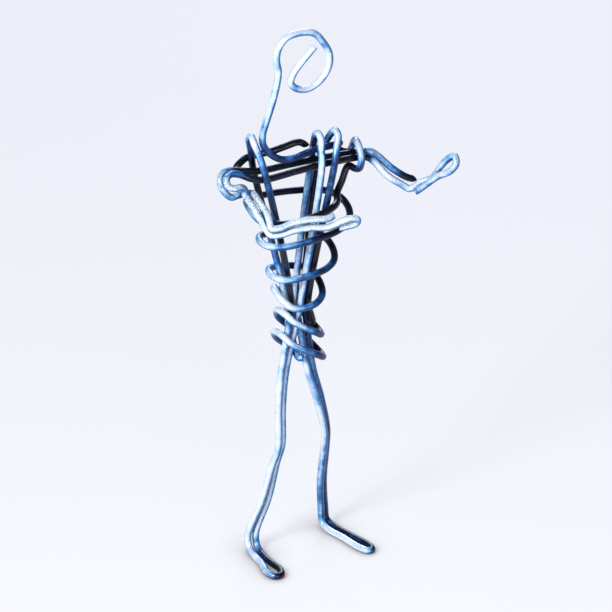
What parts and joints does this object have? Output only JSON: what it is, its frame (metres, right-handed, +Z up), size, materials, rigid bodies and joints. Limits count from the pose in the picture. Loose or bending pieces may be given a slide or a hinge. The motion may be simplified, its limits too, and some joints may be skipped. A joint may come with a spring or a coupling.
{
  "type": "wire figure",
  "caption": "Standing figure bent from soft bare wire: open loop head, doubled arms and legs with looped hands and feet, and a bound trunk that can be posed at its bends.",
  "frame": {"origin": "middle of the figure's bounding box, on the plane that it stands on", "axes": "+Z up, the figure faces -Y, its left hand is towards +X"},
  "size_m": [0.0488, 0.0238, 0.1225],
  "materials": {
    "bare_wire": "dull drawn wire"
  },
  "bodies": {
    "torso": {"front_rail": "bare_wire", "back_rail": "bare_wire", "right_shoulder_tie": "bare_wire", "right_trunk_wire": "bare_wire", "middle_trunk_wire": "bare_wire", "left_trunk_wire": "bare_wire", "neck_wire": "bare_wire", "torso_binding": "bare_wire"},
    "head": {"head_wire": "bare_wire"},
    "right_upper_arm": {"right_upper_arm_outer": "bare_wire", "right_upper_arm_inner": "bare_wire"},
    "right_forearm": {"right_forearm_hand": "bare_wire", "right_forearm_tail": "bare_wire"},
    "left_upper_arm": {"left_upper_arm_front": "bare_wire", "left_upper_arm_back": "bare_wire"},
    "left_forearm": {"left_forearm_hand": "bare_wire"},
    "right_thigh": {"right_thigh_outer": "bare_wire", "right_thigh_inner": "bare_wire"},
    "right_shin": {"right_shin_outer": "bare_wire", "right_shin_inner": "bare_wire"},
    "right_foot": {"right_foot": "bare_wire"},
    "left_thigh": {"left_thigh_inner": "bare_wire", "left_thigh_outer": "bare_wire"},
    "left_shin": {"left_shin_inner": "bare_wire", "left_shin_outer": "bare_wire"},
    "left_foot": {"left_foot": "bare_wire"}
  },
  "joints": [
    {"name": "neck_bend", "type": "hinge", "parent": "torso", "child": "head", "pos_m": [-0.01365, 0.00347, 0.1024], "axis": [1, 0, 0], "range_deg": [-30, 35]},
    {"name": "right_shoulder_bend", "type": "hinge", "parent": "torso", "child": "right_upper_arm", "pos_m": [-0.01835, 0.00177, 0.0878], "axis": [-1, 0, 0], "range_deg": [-15, 35]},
    {"name": "right_elbow_bend", "type": "hinge", "parent": "right_upper_arm", "child": "right_forearm", "pos_m": [-0.01741, -0.00602, 0.08263], "axis": [0, 0.3011, -0.9536], "range_deg": [-10, 75]},
    {"name": "left_shoulder_bend", "type": "hinge", "parent": "torso", "child": "left_upper_arm", "pos_m": [0.00925, 0.00347, 0.0897], "axis": [0, -1, 0], "range_deg": [-25, 55]},
    {"name": "left_elbow_bend", "type": "hinge", "parent": "left_upper_arm", "child": "left_forearm", "pos_m": [0.01808, -0.00194, 0.08222], "axis": [-0.6201, -0.7402, -0.2601], "range_deg": [-50, 20]},
    {"name": "right_hip_bend", "type": "hinge", "parent": "torso", "child": "right_thigh", "pos_m": [-0.00955, 0.00337, 0.0428], "axis": [-0.8821, -0.4711, 0], "range_deg": [-20, 40]},
    {"name": "right_knee_bend", "type": "hinge", "parent": "right_thigh", "child": "right_shin", "pos_m": [-0.01025, 0.00347, 0.0258], "axis": [0.8, 0.6, 0], "range_deg": [-10, 60]},
    {"name": "right_ankle_bend", "type": "hinge", "parent": "right_shin", "child": "right_foot", "pos_m": [-0.01455, 0.00797, 0.004], "axis": [0.9996, -0.03, 0], "range_deg": [-20, 25]},
    {"name": "left_hip_bend", "type": "hinge", "parent": "torso", "child": "left_thigh", "pos_m": [-0.00325, 0.00347, 0.0428], "axis": [-0.8984, -0.4392, 0], "range_deg": [-20, 40]},
    {"name": "left_knee_bend", "type": "hinge", "parent": "left_thigh", "child": "left_shin", "pos_m": [0.00155, 0.00547, 0.0258], "axis": [0.6816, 0.7317, 0], "range_deg": [-10, 60]},
    {"name": "left_ankle_bend", "type": "hinge", "parent": "left_shin", "child": "left_foot", "pos_m": [0.00365, 0.01057, 0.004], "axis": [0.8, 0.6, 0], "range_deg": [-20, 25]}
  ]
}
